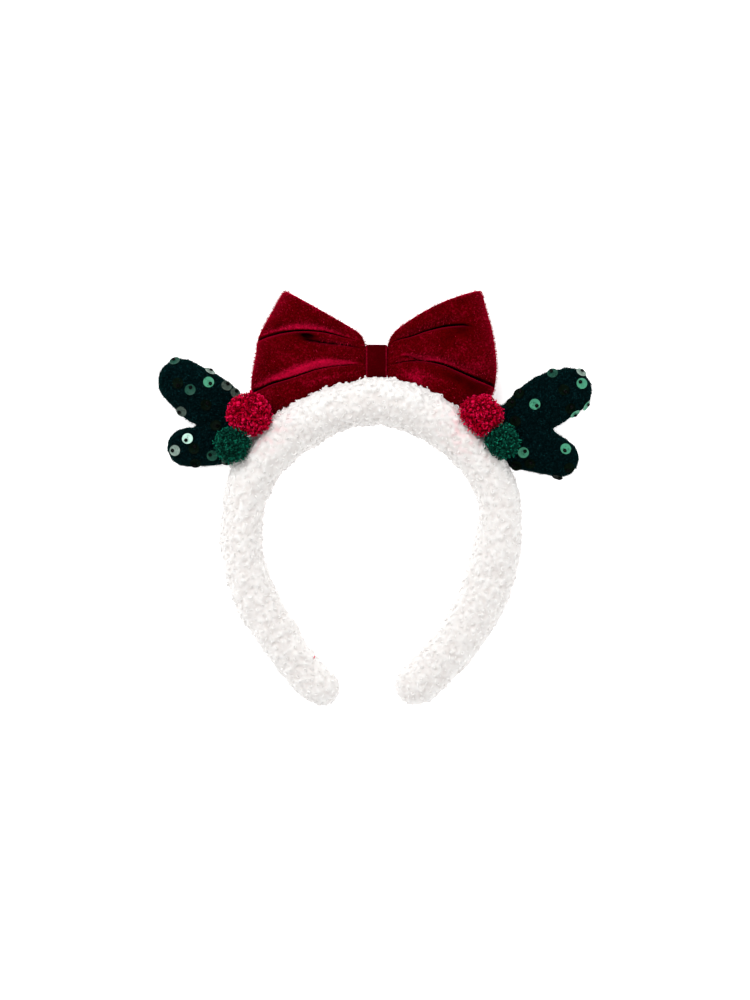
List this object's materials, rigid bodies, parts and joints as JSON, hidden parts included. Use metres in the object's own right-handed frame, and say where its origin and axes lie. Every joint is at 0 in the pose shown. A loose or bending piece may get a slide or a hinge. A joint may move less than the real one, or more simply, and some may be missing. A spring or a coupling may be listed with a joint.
{
  "type": "reindeer antler headband",
  "caption": "Padded fleece headband for the head with a velvet bow at its crown, and stuffed felt antlers and yarn pompoms at both sides.",
  "frame": {"origin": "centre of the bounding box at the surface it lies on", "axes": "+X the right of the front view, +Y from the open end to the crown, +Z out of the front"},
  "size_m": [0.2392, 0.2298, 0.0447],
  "materials": {
    "boucle_fleece": "curly off-white pile",
    "crimson_velvet": "crushed velvet",
    "green_felt": "matte wool felt",
    "yarn_red": "cut yarn",
    "yarn_green": "cut yarn",
    "green_sequin": "glossy metallised film"
  },
  "bodies": {
    "root": {"fleece_band": "boucle_fleece", "velvet_bow": "crimson_velvet", "bow_knot": "crimson_velvet", "antler_left": "green_felt", "antler_right": "green_felt", "pompom_red_left": "yarn_red", "pompom_green_left": "yarn_green", "pompom_red_right": "yarn_red", "pompom_green_right": "yarn_green", "sequin_left_01": "green_sequin", "sequin_left_02": "green_sequin", "sequin_left_03": "green_sequin", "sequin_left_04": "green_sequin", "sequin_left_05": "green_sequin", "sequin_left_06": "green_sequin", "sequin_left_07": "green_sequin", "sequin_left_08": "green_sequin", "sequin_left_09": "green_sequin", "sequin_left_10": "green_sequin", "sequin_left_11": "green_sequin", "sequin_left_12": "green_sequin", "sequin_left_13": "green_sequin", "sequin_left_14": "green_sequin", "sequin_left_15": "green_sequin", "sequin_left_16": "green_sequin", "sequin_right_01": "green_sequin", "sequin_right_02": "green_sequin", "sequin_right_03": "green_sequin", "sequin_right_04": "green_sequin", "sequin_right_05": "green_sequin", "sequin_right_06": "green_sequin", "sequin_right_07": "green_sequin", "sequin_right_08": "green_sequin", "sequin_right_09": "green_sequin", "sequin_right_10": "green_sequin", "sequin_right_11": "green_sequin", "sequin_right_12": "green_sequin", "sequin_right_13": "green_sequin", "sequin_right_14": "green_sequin", "sequin_right_15": "green_sequin", "sequin_right_16": "green_sequin", "sequin_right_17": "green_sequin"}
  },
  "joints": []
}
